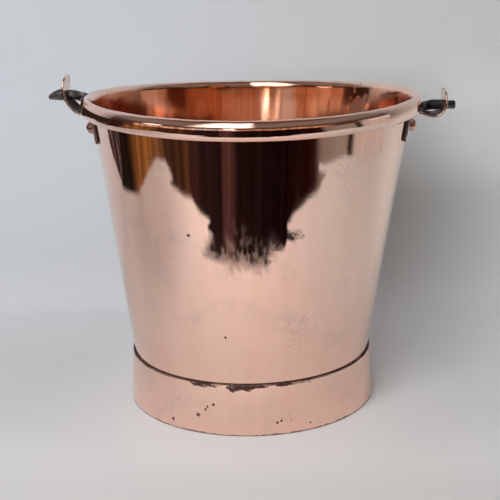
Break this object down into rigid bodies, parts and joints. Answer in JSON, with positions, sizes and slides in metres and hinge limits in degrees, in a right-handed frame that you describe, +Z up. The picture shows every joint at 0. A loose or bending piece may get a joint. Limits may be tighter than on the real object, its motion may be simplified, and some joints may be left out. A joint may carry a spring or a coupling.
{
  "type": "bucket",
  "caption": "Polished copper bucket, tapered, with a rolled rim and a foot band, hooked riveted ears and a swinging iron bail folded back.",
  "frame": {"origin": "middle of the floor space that the bucket and its folded bail take up, at the foot band's lower edge", "axes": "+Z up out of the mouth, X along the line of the two ears with the left, taller ear at -X, +Y towards the side where the bail lies folded"},
  "size_m": [0.36, 0.3094, 0.2965],
  "materials": {
    "copper": "polished copper sheet, warm pink, with a mirror shine and slight hand-worked waves",
    "ear_copper": "thicker copper, filed and polished",
    "iron": "dark forged iron, worn to a dull grey shine"
  },
  "bodies": {
    "bucket": {"body_wall": "copper", "rim_hoop": "iron", "foot_band": "copper", "base_plate": "copper", "left_ear": "ear_copper", "right_ear": "ear_copper", "left_rivet_front": "ear_copper", "left_rivet_back": "ear_copper", "right_rivet_front": "ear_copper", "right_rivet_back": "ear_copper"},
    "bail": {"bail": "iron"}
  },
  "joints": [
    {"name": "bail_swing", "type": "hinge", "parent": "bucket", "child": "bail", "pos_m": [0.00194, -0.00458, 0.27178], "axis": [0.9991, 0, -0.0416], "range_deg": [0, 202]}
  ]
}
